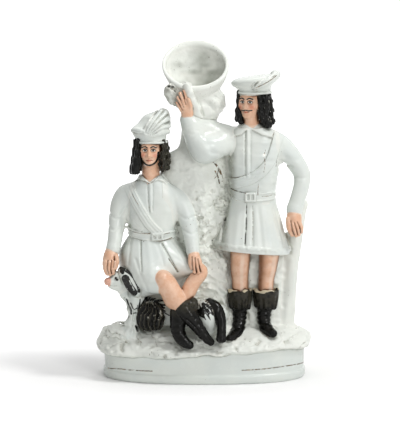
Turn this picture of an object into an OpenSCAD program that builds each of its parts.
// Glazed earthenware spill vase: two huntsmen and a hound by a hollow tree.
// Pressed clay pieces, luted together. +Z is up, the front faces -Y, and the
// origin is on the ground under the middle of the plinth. Millimetres.

/* [Base] */
// Width of the plinth across its foot
plinth_w = 228; // [216:1:234]
// Depth of the plinth across its foot
plinth_d = 104; // [98:1:108]
// Height of the plinth
plinth_h = 27; // [22:1:32]
// Height of the projecting foot band
foot_h = 10; // [7:0.5:14]
// How far the foot band stands out from the wall above it
foot_step = 2.5; // [1:0.5:4]
// Bevel round the bottom of the foot
foot_bevel = 2; // [1:0.5:3]
// Thickness of the pressed clay walls
wall = 6; // [4:0.5:8]
// Thickness of the slab that closes the underside
slab_t = 5; // [4:0.5:7]
// How far the slab is set up from the foot
slab_recess = 1.5; // [1:0.5:3]
// Width of the ledge that the slab is luted against
slab_ledge = 2.5; // [1.5:0.5:3.5]
// Radius of the vent hole in the slab
vent_r = 4; // [2:0.5:6]
// Greatest width of the rock mound
mound_w = 240; // [238:1:252]
// Greatest depth of the rock mound
mound_d = 114; // [112:1:124]
// Height of the rock mound above the plinth
mound_h = 31; // [26:1:36]
// Depth of the hollows between the rocks
mound_lump = 5; // [0:0.5:7]

/* [Tree] */
// Height of the trunk from the mound to the cup
trunk_h = 227; // [215:1:240]
// Width of the trunk at half height
trunk_w = 58; // [54:1:64]
// Depth of the trunk
trunk_d = 46; // [40:1:52]
// Width across the roots
root_w = 104; // [90:1:116]
// Depth of the furrows in the bark
bark = 2; // [0:0.5:3]
// Height of the cup from its foot to the middle of its rim
cup_h = 65; // [56:1:75]
// Width of the cup's rim
rim_w = 73; // [66:1:80]
// Depth of the cup's rim seen from above
rim_d = 55; // [50:1:60]
// Forward tilt of the rim in degrees
rim_tilt = 42; // [30:1:48]
// Width of the cup's neck
neck_w = 60; // [54:1:64]
// Thickness of the cup's wall
cup_wall = 4.5; // [3:0.5:6]
// Thickness of the cup's floor
cup_floor = 8; // [5:1:12]
// Radius of the broken branch stub on the cup
stub_r = 9.5; // [7:0.5:11]
// Radius of the hollow in the branch stub
stub_bore_r = 5; // [3:0.5:6]
// Radius of the gnarled knot on the cup
knot_r = 14; // [11:0.5:16]
// Width of the post beside the standing figure
post_w = 15; // [12:0.5:18]
// Width of the rock backing behind the standing figure's legs
backing_w = 84; // [78:1:88]
// Depth of the rock backing
backing_d = 36; // [32:1:40]

/* [Standing figure] */
// Sideways place of the standing figure
stand_x = 55; // [50:1:58]
// Height of the boots above the mound
boot_h = 42; // [36:1:48]
// Width of a boot cuff
cuff_w = 29; // [25:0.5:31]
// Depth of the turned-down boot cuff
cuff_h = 16; // [12:1:20]
// Width of a boot at the ankle
ankle_w = 14; // [12:0.5:16]
// Length of a boot's foot
foot_l = 33; // [28:1:36]
// Distance between the two legs
leg_gap = 32; // [30:0.5:34]
// Height of the bare knees between boot and hem
knee_h = 44; // [38:1:50]
// Width of a leg under the hem
leg_w = 23; // [20:0.5:25]
// Height of the skirt of the tunic
skirt_h = 60; // [52:1:68]
// Width of the skirt at its hem
hem_w = 84; // [76:1:90]
// Depth of the skirt at its hem
hem_d = 53; // [48:1:58]
// Rise of the hem towards the tree, as a slope
hem_rise = 0.12; // [0:0.01:0.16]
// Height of the hem's fur edging
fur_h = 6; // [4:0.5:8]
// Width of the waist
waist_w = 49; // [44:1:54]
// Depth of the waist
waist_d = 35; // [31:1:39]
// Height of the belt
belt_h = 8; // [6:0.5:10]
// How far belts, sashes and collars stand proud
relief = 1.8; // [1.2:0.1:2.4]
// Width of the shoulder sash
sash_w = 11; // [8:0.5:14]
// Height of the body from waist to neck
torso_h = 77; // [70:1:84]
// Width of the chest
chest_w = 58; // [54:1:62]
// Depth of the chest
chest_d = 40; // [36:1:44]
// Width of the neck
neck_col_w = 18; // [15:0.5:21]
// Height from the base of the neck to the cap
head_h = 39; // [35:1:43]
// Width of the head
head_w = 26; // [24:0.5:29]
// Turn of the standing head towards the tree, in degrees
head_turn = 24; // [0:1:35]
// Width of the hair across the locks
hair_w = 42; // [38:1:45]
// Length of the hair below the cap
hair_l = 41; // [37:1:43]
// Width of the cap's band
band_w = 35; // [32:1:38]
// Height of the cap's band
band_h = 5; // [4:0.5:7]
// Width of the standing figure's cap crown
crown_w = 51; // [46:1:56]
// Height of the standing figure's cap crown
crown_h = 15; // [12:1:20]
// Width of a sleeve at the shoulder
sleeve_w = 26; // [23:0.5:28]
// Width of a sleeve at the wrist
wrist_w = 17; // [15:0.5:19]
// Width of a hand
hand_w = 15; // [13:0.5:17]
// Length of a hand
hand_l = 30; // [26:1:33]
// How far the lowered elbow stands out from the shoulder
elbow_out = 23; // [19:1:24]

/* [Seated figure] */
// Sideways place of the seated figure
sit_x = -58; // [-61:1:-54]
// Height of the rock seat above the mound
seat_h = 44; // [38:1:50]
// Width of the rock seat
seat_w = 76; // [70:1:80]
// Height of the skirt from the seat to the waist
lap_h = 59; // [54:1:64]
// Width of the skirt over the seat
lap_w = 72; // [66:1:78]
// Height of the body from waist to neck
sit_torso_h = 62; // [57:1:68]
// Width of the seated figure's waist
sit_waist_w = 48; // [44:1:52]
// Width of the seated figure's chest
sit_chest_w = 56; // [52:1:60]
// Height from the base of the neck to the cap
sit_head_h = 45; // [40:1:48]
// Height of the seated figure's puffed cap crown
sit_crown_h = 27; // [22:1:32]
// Width of the seated figure's cap crown
sit_crown_w = 46; // [42:1:49]
// Width of the knees and shins
shin_w = 19; // [16:0.5:21]
// Height of the knees above the mound
knee_z = 60; // [54:1:64]

/* [Hound] */
// Sideways reach of the hound's nose from the middle of the plinth
nose_x = -109; // [-112:1:-104]
// Height of the hound's head above the mound
hound_h = 53; // [48:1:57]
// Width of the hound's body
hound_w = 28; // [24:1:32]
// Width of the hound's skull
skull_w = 21; // [18:0.5:23]
// Length of the hound's ear
ear_l = 34; // [28:1:38]
// Width of the shaggy black fur on its flank
fur_w = 28; // [24:1:31]
// Height of the shaggy black fur
fur_l = 34; // [28:1:37]
// Width of the hind leg
hock_w = 11; // [9:0.5:13]

/* [Hidden] */

// Glaze and enamel colours
glaze = "#e9ece7";
flesh = "#e6ad8c";
black = "#1d1b19";

// Sides of the round forms: ground, tree, bodies, heads, limbs and fingers
ground_n = 32;
tree_n = 22;
tower_n = 16;
head_n = 14;
limb_n = 10;
finger_n = 6;

// Rings per span between two stations
coarse = 1;
plain = 2;
fine = 4;

// Ring points sit on a fine grid, so that the spans of a loft share them
grid = 0.01;

// Room left for slip where a piece drops into another
slip_gap = 0.3;

// How far a piece runs into its neighbour before the neighbour is cut away
bed = 6;

// Roundness of the oval plinth: 2 is an ellipse
plinth_power = 2.4;

// Level of the mound's top, where the tree and the rocks stand
ground = plinth_h + mound_h;

// Levels and axis of the tree
cup_foot = ground + trunk_h;
rim_mid = cup_foot + cup_h;
tree_y = 5;
rim_at = [-9.5, tree_y];

// Levels and axis of the standing figure
stand_y = -3;
boot_top = ground + boot_h;
hem = boot_top + knee_h;
waist = hem + skirt_h;
neck = waist + torso_h;
brow = neck + head_h;
stand_neck = [stand_x - 4, stand_y - 5, neck];

// Levels and axis of the seated figure
sit_y = -8;
seat = ground + seat_h;
sit_waist = seat + lap_h;
sit_neck = sit_waist + sit_torso_h;
sit_brow = sit_neck + sit_head_h;
sit_neck_at = [sit_x - 1, sit_y - 8, sit_neck];

// Roots, shoulders, elbows and wrists of the standing figure
raised_root = [stand_x - chest_w * 0.14, stand_y - 2, neck - 17];
raised_shoulder = [stand_x - chest_w / 2 + 7, stand_y - 4, neck - 11];
raised_elbow = [rim_at.x + 14, -22, cup_foot - 28];
raised_wrist = [rim_at.x - 9, -17, cup_foot + 5];
raised_tip = [rim_at.x - 20, -12, cup_foot + 35];
lowered_root = [stand_x + chest_w * 0.2, stand_y + 1, neck - 22];
lowered_shoulder = [stand_x + chest_w / 2, stand_y + 1, neck - 18];
lowered_elbow = [lowered_shoulder.x + elbow_out, stand_y - 1, waist + 24];
lowered_wrist = [lowered_elbow.x - 8, stand_y - 9, waist - 13];
lowered_tip = lowered_wrist + [1, -3, -hand_l];

// Roots, shoulders, elbows, wrists, knees and ankles of the seated figure
outer_root = [sit_x - sit_chest_w * 0.2, sit_y - 1, sit_neck - 23];
outer_shoulder = [sit_x - sit_chest_w / 2 + 1, sit_y - 1, sit_neck - 19];
inner_root = [sit_x + sit_chest_w * 0.2, sit_y - 2, sit_neck - 18];
inner_shoulder = [sit_x + sit_chest_w / 2 - 1, sit_y - 3, sit_neck - 16];
hound_skull = [nose_x + 22, -22, ground + hound_h];
hound_nose = [nose_x + 5, -30, ground + hound_h - 2];
outer_wrist = [nose_x + 7, -23, hound_nose.z + 39];
outer_elbow = [outer_wrist.x + 2, -12, sit_waist + 15];
outer_tip = hound_nose + [3, 1, 3];
front_knee = [sit_x + 11, -45, ground + knee_z];
rear_knee = [sit_x + 54, -34, ground + knee_z + 4];
front_ankle = [sit_x + 34, -46, ground + 27];
rear_ankle = [sit_x + 33, -38, ground + 28];
front_toe = [front_ankle.x + 32, -50, ground - 12];
rear_toe = [rear_ankle.x + 8, -52, ground - 14];
inner_wrist = rear_knee + [-6, 4, 25];
inner_elbow = [inner_shoulder.x + 8, sit_y - 7, sit_waist + 17];
inner_tip = rear_knee + [1, -9, 1];

// Curves through stations

function mix(a, b, t) = a + (b - a) * t;
function unit(v) = v / norm(v);

// Smooth curve through a list of stations, each a list of numbers; t counts stations
function spline(s, t) =
    let (
        k = min(floor(t), len(s) - 2),
        u = t - k,
        a = s[max(k - 1, 0)],
        b = s[k],
        c = s[k + 1],
        d = s[min(k + 2, len(s) - 1)]
    )
    0.5 * (2 * b + (c - a) * u + (2 * a - 5 * b + 4 * c - d) * u * u + (3 * b - a - 3 * c + d) * u * u * u);

function steps(s, per) = [for (i = [0:(len(s) - 1) * per]) i / per];

// Level oval: [x, y, z, half width, front depth, back depth, slope to the right]
function oval(s, n, grow = 0) =
    [for (i = [0:n - 1])
        let (a = 360 * i / n, r = s[3] + grow, d = (sin(a) < 0 ? s[4] : s[5]) + grow)
        [s.x + r * cos(a), s.y + d * sin(a), s.z + s[6] * r * cos(a)]];

// Oval square to a path: [x, y, z, half width, half depth]
function cross_oval(s, along, n) =
    let (side = unit(cross([0, 1, 0], along)), deep = unit(cross(along, side)))
    [for (i = [0:n - 1])
        let (a = 360 * i / n)
        [s.x, s.y, s.z] + side * s[3] * cos(a) + deep * s[4] * sin(a)];

function path_rings(s, n, per) =
    [for (t = steps(s, per))
        let (
            before = spline(s, max(t - 0.05, 0)),
            after = spline(s, min(t + 0.05, len(s) - 1)),
            along = [after.x - before.x, after.y - before.y, after.z - before.z]
        )
        cross_oval(spline(s, t), along, n)];

// Rounded outline of the plinth, set in by a given amount
function plinth_outline(inset) =
    [for (i = [0:ground_n - 1])
        let (a = 360 * i / ground_n, p = 2 / plinth_power)
        [sign(cos(a)) * pow(abs(cos(a)), p) * (plinth_w / 2 - inset),
         sign(sin(a)) * pow(abs(sin(a)), p) * (plinth_d / 2 - inset)]];

function at_level(outline, z) = [for (p = outline) [p.x, p.y, z]];

// One span between two rings of the same count
module span(a, b) {
    n = len(a);
    hull()
        polyhedron(
            points = [for (p = concat(a, b)) [for (v = p) round(v / grid) * grid]],
            faces = concat(
                [[for (j = [0:n - 1]) j], [for (j = [0:n - 1]) 2 * n - 1 - j]],
                [for (j = [0:n - 1]) [(j + 1) % n, j, n + j, n + (j + 1) % n]]
            )
        );
}

module loft(rings)
    for (i = [0:len(rings) - 2]) span(rings[i], rings[i + 1]);

// One closed skin over rings that may fold back inside themselves; a tube's last ring meets its first
module skin(rings, tube = false) {
    n = len(rings[0]);
    count = len(rings);
    caps = [[for (j = [0:n - 1]) j], [for (j = [0:n - 1]) count * n - 1 - j]];
    polyhedron(
        points = [for (r = rings) for (p = r) p],
        faces = concat(
            tube ? [] : caps,
            [for (i = [0:count - (tube ? 1 : 2)]) for (j = [0:n - 1])
                let (k = (j + 1) % n, next = (i + 1) % count * n)
                each [[i * n + k, i * n + j, next + j], [i * n + k, next + j, next + k]]]
        )
    );
}

module tower(stations, n = tower_n, per = plain, grow = 0)
    loft([for (t = steps(stations, per)) oval(spline(stations, t), n, grow)]);

module limb(stations, n = limb_n, per = plain)
    loft(path_rings(stations, n, per));

// Station of a limb: a point with a half width and a half depth
function at(point, half_w, half_d) = concat(point, [half_w, half_d]);

module ball(c, r, n = limb_n)
    tower([for (k = [-1:0.5:1]) [c.x, c.y, c.z + r.z * sin(90 * k),
        max(r.x * cos(90 * k), 0.3), max(r.y * cos(90 * k), 0.3), max(r.y * cos(90 * k), 0.3), 0]], n);

// Base

module plinth() color(glaze) difference() {
    union() {
        span(at_level(plinth_outline(foot_bevel), 0), at_level(plinth_outline(0), foot_bevel));
        translate([0, 0, foot_bevel])
            linear_extrude(foot_h - foot_bevel) polygon(plinth_outline(0));
        translate([0, 0, foot_h])
            linear_extrude(plinth_h - foot_h) polygon(plinth_outline(foot_step));
    }
    translate([0, 0, -1])
        linear_extrude(plinth_h + 2) polygon(plinth_outline(foot_step + wall));
    translate([0, 0, -1])
        linear_extrude(slab_recess + slab_t + 1)
            polygon(plinth_outline(foot_step + wall - slab_ledge));
}

module base_slab() color(glaze) difference() {
    translate([0, 0, slab_recess])
        linear_extrude(slab_t)
            polygon(plinth_outline(foot_step + wall - slab_ledge + slip_gap));
    cylinder(r = vent_r, h = plinth_h, $fn = 32);
}

// Rock ring: share of the mound's height, half width, half depth and share of the lumps
function mound_ring(share, half_w, half_d, lumps) =
    [for (i = [0:ground_n - 1])
        let (
            a = 360 * i / ground_n,
            p = 2 / plinth_power,
            hollow = lumps * mound_lump * (0.5 - 0.3 * sin(5 * a + 40 + 90 * share) - 0.2 * cos(9 * a))
        )
        [sign(cos(a)) * pow(abs(cos(a)), p) * (half_w - hollow),
         sign(sin(a)) * pow(abs(sin(a)), p) * (half_d - hollow),
         plinth_h + mound_h * share]];

// Outer rings of the rock, from the plinth up: share of height, insets and lumps
function rock_rings() =
    let (half_w = mound_w / 2, half_d = mound_d / 2)
    [
        at_level(plinth_outline(foot_step), plinth_h),
        mound_ring(0.15, half_w - 2, half_d - 2, 0.4),
        mound_ring(0.32, half_w, half_d, 0),
        mound_ring(0.5, half_w - 0.5, half_d - 4, 0.8),
        mound_ring(0.7, half_w - 3, half_d - 11, 1),
        mound_ring(0.87, half_w - 8, half_d - 19, 1),
        mound_ring(1, half_w - 18, half_d - 28, 0)
    ];

// Rings of the hollow, from the opening under the tree down to the plinth's wall
function hollow_rings() =
    let (half_w = mound_w / 2 - wall, half_d = mound_d / 2 - wall, open_w = root_w / 2 - 2 * wall)
    [
        mound_ring(1, open_w, trunk_d / 2 - 2 * wall, 0),
        mound_ring(0.78, open_w, trunk_d / 2 - 2 * wall, 0),
        mound_ring(0.76, half_w - 30, half_d - 30, 0),
        mound_ring(0.66, half_w - 12, half_d - 20, 0),
        mound_ring(0.4, half_w - 5, half_d - 9, 0),
        at_level(plinth_outline(foot_step + wall), plinth_h)
    ];

module mound_form() skin(rock_rings());

module mound() color(glaze) skin(concat(rock_rings(), hollow_rings()), true);

// Tree

trunk_stations = [
    [4, tree_y, ground, root_w / 2, trunk_d / 2 + 2, trunk_d / 2, 0],
    [2, tree_y, ground + 27, root_w / 2 - 8, trunk_d / 2 + 2, trunk_d / 2, 0],
    [0, tree_y, ground + 72, trunk_w / 2 + 11, trunk_d / 2 + 2, trunk_d / 2, 0],
    [-3, tree_y, mix(ground, cup_foot, 0.58), trunk_w / 2 + 9, trunk_d / 2 + 2, trunk_d / 2, 0],
    [-4, tree_y, mix(ground, cup_foot, 0.7), trunk_w / 2 + 7, trunk_d / 2 + 2, trunk_d / 2, 0],
    [-2, tree_y, cup_foot - 48, trunk_w / 2 + 1, trunk_d / 2 + 1, trunk_d / 2, 0],
    [-1, tree_y, cup_foot - 28, trunk_w / 2, trunk_d / 2 + 1, trunk_d / 2, 0],
    [0, tree_y, cup_foot, trunk_w / 2 - 3, trunk_d / 2, trunk_d / 2, 0]
];

// Oval with furrows that wander up the bark
function bark_ring(s, n) =
    let (smooth = oval(s, n), middle = [s.x, s.y, s.z])
    [for (i = [0:n - 1])
        let (a = 360 * i / n, out = unit(smooth[i] - middle))
        smooth[i] - out * bark * (0.5 + 0.5 * sin(4 * a + 2.2 * s.z))];

function trunk_rings() =
    [for (t = steps(trunk_stations, plain))
        let (s = spline(trunk_stations, t))
        t == len(trunk_stations) - 1 ? oval(s, tree_n) : bark_ring(s, tree_n)];

// Stations that the hollow inside the trunk follows, from the top down
hollow_stations = [7, 5, 2, 0];

function trunk_hollow() =
    [for (i = hollow_stations) oval(trunk_stations[i], tree_n, -wall - bark)];

module trunk_form() skin(trunk_rings());

module trunk() color(glaze) skin(concat(trunk_rings(), trunk_hollow()), true);

// Oval tipped forward, so that its back edge rises
function tipped(c, half_w, half_d, tilt) =
    [for (i = [0:tree_n - 1])
        let (a = 360 * i / tree_n)
        [c.x + half_w * cos(a), c.y + half_d * sin(a), c.z + half_d * sin(a) * tan(tilt)]];

// Axis of the cup at a share of its height: it leans to the left and comes back a little
function cup_at(share) = [
    spline([[0], [rim_at.x * 0.55], [rim_at.x * 1.15], [rim_at.x]], share * 3).x,
    tree_y,
    cup_foot + cup_h * share
];

// Outside of the cup, from its foot to the top of its rim
function cup_rings() =
    let (half_w = rim_w / 2, half_d = rim_d / 2, neck_d = trunk_d / 2)
    [
        tipped(cup_at(0), trunk_w / 2 - 3, neck_d, 0),
        tipped(cup_at(0.3), neck_w / 2 - 3, neck_d - 1, rim_tilt * 0.1),
        tipped(cup_at(0.62), neck_w / 2, neck_d, rim_tilt * 0.4),
        tipped(cup_at(0.85), half_w - 3, half_d - 2.5, rim_tilt * 0.8),
        tipped(cup_at(0.96), half_w, half_d, rim_tilt),
        tipped(cup_at(1) + [0, 0, 1], half_w - 1, half_d - 1, rim_tilt)
    ];

// Inside of the cup, from the rim down to the floor of the well
function well_rings() =
    let (
        half_w = rim_w / 2 - cup_wall,
        half_d = rim_d / 2 - cup_wall,
        neck = neck_w / 2 - cup_wall,
        neck_d = trunk_d / 2 - cup_wall,
        low = cup_floor / cup_h
    )
    [
        tipped(cup_at(1), half_w, half_d, rim_tilt),
        tipped(cup_at(0.82), half_w - 4, half_d - 4, rim_tilt * 0.75),
        tipped(cup_at(0.58), neck - 1, neck_d, rim_tilt * 0.35),
        tipped(cup_at(low + 0.15), neck - 4, neck_d - 2, 0),
        tipped(cup_at(low), neck - 8, neck_d - 6, 0)
    ];

module cup_form() skin(cup_rings());

module spill_cup() color(glaze) skin(concat(cup_rings(), well_rings()));

// Broken branch on the left of the cup, with a shallow hollow in its end
stub_at = cup_at(0.52) + [-neck_w / 2 - 2, -8, 0];

module stub_form()
    limb([
        at(stub_at + [12, 5, -12], stub_r * 0.7, stub_r * 0.8),
        at(stub_at + [1, 0, -3], stub_r, stub_r),
        at(stub_at + [-1, -3, 8], stub_r - 2, stub_r - 1)
    ], limb_n, fine);

module branch_stub() color(glaze) difference() {
    stub_form();
    cup_form();
    trunk_form();
    translate(stub_at + [0, -3, 1]) cylinder(r = stub_bore_r, h = 2 * stub_r, $fn = 12);
}

// Gnarled knot on the right of the cup, wrapped by three ridges
knot_at = cup_at(0.36) + [neck_w / 2 - 9, -6, 0];

module trunk_knot() color(glaze) difference() {
    union() {
        ball(knot_at, [knot_r, knot_r - 1, knot_r + 2]);
        for (k = [-1:1])
            limb([
                at(knot_at + [-8, 3 - knot_r, 8 * k - 3], 2.4, 2.4),
                at(knot_at + [2, 1 - knot_r, 8 * k + 2], 3, 3),
                at(knot_at + [knot_r - 4, -6, 6 * k], 2.4, 2.4)
            ], finger_n);
    }
    cup_form();
    trunk_form();
}

// Rocks that carry the figures

module backing_form() {
    x = stand_x + 1;
    y = tree_y + 2;
    half = backing_w / 2;
    deep = backing_d / 2;
    tower([
        [x, y, ground, half, deep + 2, deep, 0],
        [x, y, ground + 45, half - 4, deep, deep - 1, 0],
        [x, y, hem - 10, half - 7, deep - 2, deep - 2, 0],
        [x, y, hem + 2 * bed, half - 9, deep - 4, deep - 3, 0]
    ], head_n);
}

module rock_backing() color(glaze) difference() {
    backing_form();
    trunk_form();
    skirt_form();
    hem_roll();
}

post_foot = [stand_x + 36, tree_y - 1, ground - bed];
post_top = lowered_wrist + [11, 10, 4];

module post_form()
    limb([
        at(post_foot, post_w / 2 + 1, post_w / 2 + 1),
        at(mix(post_foot, post_top, 0.35) + [-2, 0, 0], post_w / 2, post_w / 2),
        at(mix(post_foot, post_top, 0.75), post_w / 2 - 1.5, post_w / 2 - 1.5),
        at(post_top - [0, 0, 6], post_w / 2 - 2.5, post_w / 2 - 2.5),
        at(post_top, post_w / 2 - 4, post_w / 2 - 4)
    ]);

module side_post() color(glaze) difference() {
    post_form();
    mound_form();
    backing_form();
    skirt_form();
    hem_roll();
    lowered_arm_form();
}

module seat_form()
    tower([
        [sit_x + 13, tree_y, ground, seat_w / 2, 24, 22, 0],
        [sit_x + 12, tree_y, ground + seat_h * 0.55, seat_w / 2 - 3, 22, 22, 0],
        [sit_x + 8, tree_y - 2, seat, seat_w / 2 - 6, 22, 22, 0]
    ], tower_n, fine);

module rock_seat() color(glaze) difference() {
    seat_form();
    trunk_form();
}

// Dress shared by both figures

// Belt with its buckle frame, round a waist oval
module belt(s) {
    tower([for (k = [0, 1]) [s.x, s.y, s.z + belt_h * k, s[3], s[4], s[5], 0]], head_n, coarse, relief);
    buckle_w = belt_h + 4;
    translate([s.x - 5, s.y - s[4] - relief, s.z + belt_h / 2])
        difference() {
            cube([buckle_w, 4, belt_h + 1], center = true);
            for (side = [-1, 1])
                translate([side * buckle_w * 0.22, -2, 0])
                    cube([buckle_w * 0.26, 2, belt_h - 3], center = true);
        }
}

// Band that goes round a grown body: its middle and its slope in degrees
module sash(middle, slope)
    intersection() {
        children();
        translate(middle) rotate([0, slope, 0]) cube([200, 200, sash_w], center = true);
    }

// Turned-down collar: two flat leaves on the chest
module collar(neck_at, reach, drop)
    for (side = [-1, 1])
        hull()
            for (p = [
                [3, -reach * 0.8, 0], [reach + 2, -reach * 0.2, -1],
                [reach + 4, -reach * 0.8, -drop], [5, -reach - 1.5, -drop * 0.7]
            ])
                translate(neck_at + [side * p.x, p.y, p.z]) cube(2 * relief, center = true);

// Placket strip down the front of the chest
module placket(top, bottom)
    hull() {
        translate(top) cube([7, 2 * relief, 2], center = true);
        translate(bottom) cube([7, 2 * relief, 2], center = true);
    }

// Neck and head, set on a neck point and turned; the brow is cut level for the cap
module head_form(neck_at, h, turn) {
    half = head_w / 2;
    col = neck_col_w / 2;
    translate(neck_at) rotate([0, 0, -turn]) {
        tower([
            [0, 1, 0, col, col, col, 0],
            [0, 1, h * 0.2, col - 1, col - 1, col, 0],
            [0, 0, h * 0.27, half - 4, half - 1, half - 2, 0],
            [0, 0, h * 0.45, half - 1.5, half + 0.5, half, 0],
            [0, 0, h * 0.7, half, half, half + 2, 0],
            [0, 0, h, half, half, half + 2, 0]
        ], head_n, coarse);
        limb([
            at([0, 1 - half, h * 0.8], 1.4, 1.4),
            at([0, -half - 1.5, h * 0.6], 2, 2),
            at([0, -half - 2, h * 0.52], 2.4, 2)
        ], finger_n);
    }
}

// Long hair that hangs behind the face to the shoulders
module hair_form(neck_at, h, lean) {
    low = h - hair_l;
    half = hair_w / 2;
    translate(neck_at) tower([
        [lean, 5, low, half, 10, 10, 0],
        [lean * 0.9, 5, mix(low, h, 0.3), half, 11, 12, 0],
        [lean * 0.6, 4, mix(low, h, 0.65), half - 2, 10, 13, 0],
        [lean * 0.4, 3, h, band_w / 2 - 1, 9, 13, 0]
    ], head_n);
}

// Soft cap: a band, then a crown that spreads and tips up to one side
module cap_form(c, crown, w, tip) {
    half = band_w / 2;
    wide = w / 2;
    top = c.z + band_h;
    tower([
        [c.x, c.y, c.z, half, half - 2, half - 1, 0],
        [c.x, c.y, top, half + 0.5, half - 1.5, half - 0.5, tip * 0.2],
        [c.x, c.y, top + crown * 0.3, mix(half, wide, 0.6), half + 2, half + 2, tip * 0.6],
        [c.x, c.y, top + crown * 0.62, wide, half + 4, half + 3, tip],
        [c.x + 1, c.y + 1, top + crown * 0.9, wide - 5, half, half, tip],
        [c.x + 1, c.y + 1, top + crown, wide - 16, half - 8, half - 8, tip]
    ], tower_n, coarse);
}

// Folded plume laid over the crown
module plume(from, to, w)
    limb([
        at(from, w * 0.4, w * 0.4),
        at(mix(from, to, 0.5) - [0, 2, 0], w * 0.6, w * 0.6),
        at(to, w * 0.35, w * 0.35)
    ], finger_n);

// Sleeve from inside the body, over the shoulder, through the elbow to the wrist
module sleeve(root, shoulder, elbow, wrist, bow, elbow_r) {
    half = sleeve_w / 2;
    fore_r = mix(elbow_r, wrist_w / 2, 0.6);
    limb([
        at(root, half - 5, half - 5),
        at(shoulder, half, half - 1),
        at(mix(shoulder, elbow, 0.5) + bow, half - 0.5, half - 1),
        at(elbow, elbow_r, elbow_r - 0.5),
        at(mix(elbow, wrist, 0.55), fore_r, fore_r),
        at(wrist, wrist_w / 2, wrist_w / 2 - 0.5)
    ]);
}

finger_reach = [0.88, 1, 0.97, 0.86];

// Hand from a wrist to its finger tips; the thumb is on the side given by -1 or 1
module hand_form(wrist, tip, thumb) {
    along = unit(tip - wrist);
    across = unit(cross(along, [0, 1, 0]));
    l = norm(tip - wrist);
    w = hand_w / 2;
    limb([
        at(wrist - along * bed / 2, w - 1.5, w - 2),
        at(wrist + along * l * 0.3, w, w - 2.5),
        at(wrist + along * l * 0.65, w - 0.5, w - 3.5)
    ], limb_n, coarse);
    for (k = [0:3]) {
        place = across * (k - 1.5) * w * 0.5;
        finger(wrist + along * l * 0.5 + place, wrist + along * l * finger_reach[k] + place * 0.9, w * 0.3);
    }
    finger(
        wrist + along * l * 0.15 + across * thumb * w * 0.6,
        wrist + along * l * 0.6 + across * thumb * (w + 0.5),
        w * 0.32
    );
}

module finger(from, to, r)
    limb([at(from, r, r), at(to, r * 0.7, r * 0.7)], finger_n, coarse);

// Standing figure

skirt_stations = [
    [stand_x, stand_y, waist, waist_w / 2, waist_d * 0.57, waist_d * 0.43, 0],
    [stand_x, stand_y, waist - skirt_h * 0.28, mix(waist_w, hem_w, 0.24) / 2,
        mix(waist_d, hem_d, 0.24) * 0.57, mix(waist_d, hem_d, 0.24) * 0.43, -hem_rise * 0.2],
    [stand_x, stand_y + 0.5, waist - skirt_h * 0.7, mix(waist_w, hem_w, 0.72) / 2,
        mix(waist_d, hem_d, 0.72) * 0.57, mix(waist_d, hem_d, 0.72) * 0.43, -hem_rise * 0.7],
    [stand_x, stand_y + 1, hem + 1, hem_w / 2, hem_d * 0.57, hem_d * 0.43, -hem_rise]
];

module skirt_form() tower(skirt_stations, tower_n + 2);

// Fur edging round the hem, one roll of pressed clay
module hem_roll() {
    s = skirt_stations[len(skirt_stations) - 1];
    tower([for (k = [0:3])
        [s.x, s.y, s.z + fur_h * k / 3, s[3] + 1 - k * 0.8, s[4] + 1 - k * 0.6, s[5] + 0.5 - k * 0.3, s[6]]],
        tower_n + 2, coarse, relief * 0.6);
}

module standing_skirt() color(glaze) difference() {
    union() {
        skirt_form();
        hem_roll();
    }
    trunk_form();
}

torso_stations = [
    [stand_x, stand_y, waist, waist_w / 2, waist_d * 0.57, waist_d * 0.43, 0],
    [stand_x, stand_y, waist + torso_h * 0.27, mix(waist_w, chest_w, 0.6) / 2,
        mix(waist_d, chest_d, 0.6) * 0.57, mix(waist_d, chest_d, 0.6) * 0.43, 0],
    [stand_x + 1, stand_y, waist + torso_h * 0.58, chest_w / 2, chest_d * 0.57, chest_d * 0.43, 0],
    [stand_x + 1, stand_y, neck - 15, chest_w / 2, chest_d * 0.5, chest_d * 0.4, 0],
    [stand_x - 1, stand_y - 2, neck - 5, chest_w / 2 - 7, chest_d * 0.38, chest_d * 0.33, 0],
    [stand_neck.x, stand_neck.y, neck, neck_col_w / 2 + 2, neck_col_w / 2 + 1, neck_col_w / 2 + 1, 0]
];

module torso_form(grow = 0) tower(torso_stations, head_n, coarse, grow);

module tunic_form() {
    torso_form();
    belt(torso_stations[0]);
    sash([stand_x, stand_y, waist + torso_h * 0.53], -48) torso_form(relief);
    collar(stand_neck, 13, 10);
    placket(stand_neck + [0, -11, -7], [stand_x - 5, stand_y - waist_d * 0.57, waist + belt_h]);
}

module standing_tunic() color(glaze) difference() {
    tunic_form();
    trunk_form();
    head_form(stand_neck, head_h, head_turn);
}

module standing_head() color(flesh) head_form(stand_neck, head_h, head_turn);

module standing_hair() color(black) difference() {
    hair_form(stand_neck, head_h, 6);
    head_form(stand_neck, head_h, head_turn);
    tunic_form();
    lowered_arm_form();
}

stand_cap = [stand_neck.x + 3, stand_neck.y + 1, brow];

module standing_cap() color(glaze) {
    cap_form(stand_cap, crown_h, crown_w, 0.18);
    plume(
        stand_cap + [0, 1 - band_w / 2, band_h],
        stand_cap + [crown_w / 2 - 6, -8, band_h + crown_h * 0.62 + 4],
        7
    );
}

module raised_arm_form()
    sleeve(raised_root, raised_shoulder, raised_elbow, raised_wrist, [0, -3, -3], sleeve_w / 2 + 1);

module standing_raised_arm() color(glaze) difference() {
    raised_arm_form();
    tunic_form();
    trunk_form();
    cup_form();
}

module standing_raised_hand() color(flesh) difference() {
    hand_form(raised_wrist, raised_tip, 1);
    raised_arm_form();
    cup_form();
    stub_form();
}

module lowered_arm_form()
    sleeve(lowered_root, lowered_shoulder, lowered_elbow, lowered_wrist, [-1, 0, 4], sleeve_w / 2 - 0.5);

module standing_lowered_arm() color(glaze) difference() {
    lowered_arm_form();
    tunic_form();
}

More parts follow.
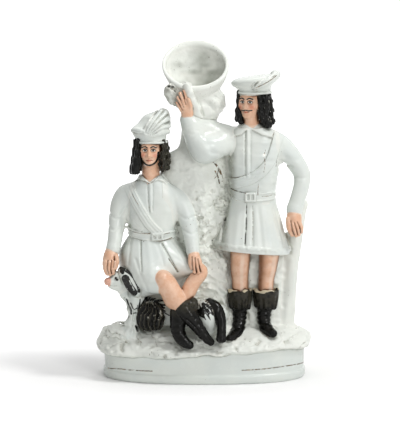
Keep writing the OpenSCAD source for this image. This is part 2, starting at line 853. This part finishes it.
module standing_lowered_hand() color(flesh) difference() {
    hand_form(lowered_wrist, lowered_tip, 1);
    lowered_arm_form();
    skirt_form();
    hem_roll();
    post_form();
}

// Legs and boots of the standing figure: side is -1 towards the tree, 1 away from it

leg_y = stand_y - 9;

function leg_x(side) = stand_x + side * leg_gap / 2;

module leg_form(side) {
    x = leg_x(side);
    limb([
        at([x, leg_y, hem + 2 * bed], leg_w / 2 + 0.5, leg_w / 2),
        at([x, leg_y, hem - knee_h * 0.2], leg_w / 2 - 0.5, leg_w / 2),
        at([x, leg_y - 1, hem - knee_h * 0.55], leg_w / 2 - 1.5, leg_w / 2 - 1),
        at([x, leg_y, boot_top], leg_w / 2 - 2.5, leg_w / 2 - 2),
        at([x, leg_y, boot_top - bed], leg_w / 2 - 3, leg_w / 2 - 3)
    ]);
}

module standing_leg(side) color(flesh) difference() {
    leg_form(side);
    skirt_form();
    backing_form();
    trunk_form();
}

module standing_inner_leg() standing_leg(-1);
module standing_outer_leg() standing_leg(1);

module boot_form(side) {
    x = leg_x(side);
    shin = boot_top - cuff_h;
    heel = ground + 2;
    toe = [x + side * 9, leg_y - foot_l + 4, ground - 6];
    r = ankle_w / 2;
    tower([
        [x, leg_y, shin - 2, r + 2, r + 2, r + 2, 0],
        [x, leg_y, shin + cuff_h * 0.25, cuff_w / 2 - 2, cuff_w / 2 - 2, cuff_w / 2 - 2, 0],
        [x, leg_y, boot_top, cuff_w / 2, cuff_w / 2 - 1, cuff_w / 2 - 1, 0]
    ], head_n);
    limb([
        at([x, leg_y, shin + 2], r + 2, r + 2),
        at([x + side, leg_y - 1, mix(heel, shin, 0.45)], r, r + 0.5),
        at([x + side, leg_y - 2, heel - bed], r, r + 1)
    ]);
    limb([
        at([x + side, leg_y + 4, heel], r - 1, 5),
        at(mix([x, leg_y, heel], toe, 0.42), r, 6),
        at(mix([x, leg_y, heel], toe, 0.8), r - 0.5, 5),
        at(toe, r - 4, 2.5)
    ]);
}

module standing_boot(side) color(black) difference() {
    boot_form(side);
    leg_form(side);
    mound_form();
    backing_form();
    trunk_form();
}

module standing_inner_boot() standing_boot(-1);
module standing_outer_boot() standing_boot(1);

// Seated figure

module sit_skirt_form() {
    half = lap_w / 2;
    tower([
        [sit_x, sit_y, sit_waist, sit_waist_w / 2, 20, 15, 0],
        [sit_x, sit_y + 1, sit_waist - lap_h * 0.25, mix(sit_waist_w / 2, half, 0.55), 22, 18, 0],
        [sit_x + 2, sit_y + 2, sit_waist - lap_h * 0.6, half, 22, 22, 0],
        [sit_x + 2, sit_y + 2, seat, half - 2, 20, 22, 0]
    ], tower_n + 2);
    thigh(-12, front_knee, 15);
    thigh(12, rear_knee, 13);
}

// Skirt over a thigh, from the hip to just short of the knee
module thigh(hip_x, knee, r) {
    hip = [sit_x + hip_x, sit_y - 4, seat + 24];
    end = mix(hip, knee, 0.86);
    limb([
        at(hip, r, r),
        at(mix(hip, end, 0.5) + [0, 0, 2], r, r - 1),
        at(end, r - 2, r - 2)
    ]);
}

module seated_skirt() color(glaze) difference() {
    sit_skirt_form();
    trunk_form();
}

sit_torso_stations = [
    [sit_x, sit_y, sit_waist, sit_waist_w / 2, 20, 15, 0],
    [sit_x, sit_y, sit_waist + sit_torso_h * 0.3, mix(sit_waist_w, sit_chest_w, 0.7) / 2, 22, 16, 0],
    [sit_x, sit_y, sit_waist + sit_torso_h * 0.6, sit_chest_w / 2, 22, 16, 0],
    [sit_x, sit_y, sit_neck - 13, sit_chest_w / 2, 19, 15, 0],
    [sit_x, sit_y - 3, sit_neck - 4, sit_chest_w / 2 - 7, 15, 12, 0],
    [sit_neck_at.x, sit_neck_at.y, sit_neck, neck_col_w / 2 + 2, neck_col_w / 2 + 1, neck_col_w / 2 + 1, 0]
];

module sit_torso_form(grow = 0) tower(sit_torso_stations, head_n, coarse, grow);

module sit_tunic_form() {
    sit_torso_form();
    belt(sit_torso_stations[0]);
    sash([sit_x - 14, sit_y, sit_waist + sit_torso_h * 0.5], 58) sit_torso_form(relief);
    collar(sit_neck_at, 12, 9);
    placket(sit_neck_at + [0, -10, -6], [sit_x + 1, sit_y - 20, sit_waist + belt_h]);
}

module seated_tunic() color(glaze) difference() {
    sit_tunic_form();
    trunk_form();
    head_form(sit_neck_at, sit_head_h, 0);
}

module seated_head() color(flesh) head_form(sit_neck_at, sit_head_h, 0);

module seated_hair() color(black) difference() {
    hair_form(sit_neck_at, sit_head_h, -1);
    head_form(sit_neck_at, sit_head_h, 0);
}

sit_cap = [sit_neck_at.x, sit_neck_at.y + 1, sit_brow];

module seated_cap() color(glaze) {
    cap_form(sit_cap, sit_crown_h, sit_crown_w, 0.3);
    for (k = [0:2])
        plume(
            sit_cap + [4 * k - 8, 1 - band_w / 2, band_h],
            sit_cap + [7 * k, -8, band_h + sit_crown_h - 8 + 3 * k],
            6
        );
}

module outer_arm_form()
    sleeve(outer_root, outer_shoulder, outer_elbow, outer_wrist, [-2, 0, 3], sleeve_w / 2 - 4);

module seated_outer_arm() color(glaze) difference() {
    outer_arm_form();
    sit_tunic_form();
    sit_skirt_form();
}

module outer_hand_form() hand_form(outer_wrist, outer_tip, 1);

module seated_outer_hand() color(flesh) difference() {
    outer_hand_form();
    outer_arm_form();
    hound_head_form();
}

module inner_arm_form()
    sleeve(inner_root, inner_shoulder, inner_elbow, inner_wrist, [2, 0, 2], sleeve_w / 2 - 2);

module seated_inner_arm() color(glaze) difference() {
    inner_arm_form();
    sit_tunic_form();
    sit_skirt_form();
    trunk_form();
}

module seated_inner_hand() color(flesh) difference() {
    hand_form(inner_wrist, inner_tip, -1);
    inner_arm_form();
    sit_skirt_form();
    shin_form(rear_knee, rear_ankle);
    trunk_form();
}

// Bare knee and shin, from under the skirt to inside the boot
module shin_form(knee, ankle) {
    r = shin_w / 2;
    hip = mix(knee, [sit_x, sit_y, seat + 24], 0.35);
    limb([
        at(hip, r - 3, r - 3),
        at(mix(hip, knee, 0.7), r - 1, r - 1),
        at(knee - [0, 0, 4], r + 0.5, r),
        at(mix(knee, ankle, 0.6), r - 0.5, r - 1),
        at(ankle, r - 2, r - 2)
    ]);
}

module seated_front_leg() color(flesh) difference() {
    shin_form(front_knee, front_ankle);
    sit_skirt_form();
}

module seated_rear_leg() color(flesh) difference() {
    shin_form(rear_knee, rear_ankle);
    sit_skirt_form();
    shin_form(front_knee, front_ankle);
    crossed_boot_form(front_ankle, front_toe);
    trunk_form();
}

// Boot of a crossed leg: shaft down from the ankle, then the foot out to the toe
module crossed_boot_form(ankle, toe) {
    r = ankle_w / 2;
    low = mix(ankle, toe, 0.62) + [-4, 2, 2];
    limb([
        at(ankle, r + 3.5, r + 3.5),
        at(mix(ankle, low, 0.5), r + 2, r + 1.5),
        at(low, r + 0.5, r + 0.5),
        at(mix(low, toe, 0.6), r, r - 1),
        at(toe, r - 3.5, r - 4)
    ]);
}

module seated_front_boot() color(black) difference() {
    crossed_boot_form(front_ankle, front_toe);
    shin_form(front_knee, front_ankle);
    hound_body_form();
    mound_form();
}

module seated_rear_boot() color(black) difference() {
    crossed_boot_form(rear_ankle, rear_toe);
    shin_form(rear_knee, rear_ankle);
    shin_form(front_knee, front_ankle);
    crossed_boot_form(front_ankle, front_toe);
    hound_body_form();
    mound_form();
}

// Hound

module hound_body_form() {
    r = hound_w / 2;
    limb([
        at(hound_skull + [3, 1, -6], r - 5, r - 4),
        at(hound_skull + [11, 1, -22], r - 2, r - 2),
        at([hound_skull.x + 20, hound_skull.y + 1, ground + 17], r, r),
        at([sit_x + 20, -19, ground + 12], r - 2, r - 2),
        at([sit_x + 48, -20, ground + 13], r - 1, r - 1),
        at([sit_x + 62, -24, ground + 14], r + 3, r + 3),
        at([sit_x + 74, -26, ground + 14], r - 3, r - 3)
    ], limb_n, coarse);
    limb([
        at([hound_skull.x + 13, hound_skull.y - 4, ground + 22], 8, 8),
        at([hound_skull.x + 12, hound_skull.y - 6, ground + 8], 6, 6),
        at([hound_skull.x + 9, hound_skull.y - 8, ground - 10], 6, 6)
    ]);
}

module hound_body() color(glaze) difference() {
    hound_body_form();
    mound_form();
    seat_form();
    trunk_form();
    sit_skirt_form();
    hound_head_form();
}

module hound_head_form() {
    r = skull_w / 2;
    limb([
        at(hound_skull + [6, 0, -3], r - 2, r - 2),
        at(hound_skull, r, r),
        at(mix(hound_skull, hound_nose, 0.5), r - 3, r - 3),
        at(hound_nose, r - 5, r - 5),
        at([nose_x, hound_nose.y - 1, hound_nose.z], r - 8, r - 8)
    ]);
}

module hound_head() color(glaze) difference() {
    hound_head_form();
    sit_skirt_form();
}

// Long ear that hangs back from the top of the skull, on the side that shows
module hound_ear() color(black) difference() {
    limb([
        at(hound_skull + [-5, -4, 12], 2.5, 2.5),
        at(hound_skull + [ear_l * 0.15, -11, 4], 6, 4),
        at(hound_skull + [ear_l * 0.36, -11, -ear_l * 0.36], 6, 4),
        at(hound_skull + [ear_l * 0.48, -9, -ear_l * 0.55], 2.5, 2.5)
    ], limb_n);
    hound_head_form();
    hound_body_form();
    sit_skirt_form();
    outer_hand_form();
}

module hound_flank_fur() color(black) difference() {
    ball([sit_x - 2, -33, ground + 15], [fur_w / 2, 12, fur_l / 2]);
    hound_body_form();
    mound_form();
    seat_form();
}

module hound_hind_leg() color(black) difference() {
    r = hock_w / 2;
    hip = [sit_x + 72, -34, ground + 28];
    limb([
        at(hip + [-6, 6, -4], r + 1, r + 1),
        at(hip + [0, -2, -2], r + 2, r),
        at(hip + [6, -6, -18], r + 0.5, r),
        at([hip.x + 2, hip.y - 11, ground - 6], r, r),
        at([hip.x - 1, hip.y - 15, ground - 11], r - 1, r - 2)
    ]);
    hound_body_form();
    mound_form();
    trunk_form();
    crossed_boot_form(front_ankle, front_toe);
}

plinth();
base_slab();
mound();
trunk();
spill_cup();
branch_stub();
trunk_knot();
rock_backing();
side_post();
rock_seat();
standing_skirt();
standing_tunic();
standing_head();
standing_hair();
standing_cap();
standing_raised_arm();
standing_raised_hand();
standing_lowered_arm();
standing_lowered_hand();
standing_inner_leg();
standing_outer_leg();
standing_inner_boot();
standing_outer_boot();
seated_skirt();
seated_tunic();
seated_head();
seated_hair();
seated_cap();
seated_outer_arm();
seated_outer_hand();
seated_inner_arm();
seated_inner_hand();
seated_front_leg();
seated_rear_leg();
seated_front_boot();
seated_rear_boot();
hound_body();
hound_head();
hound_ear();
hound_flank_fur();
hound_hind_leg();
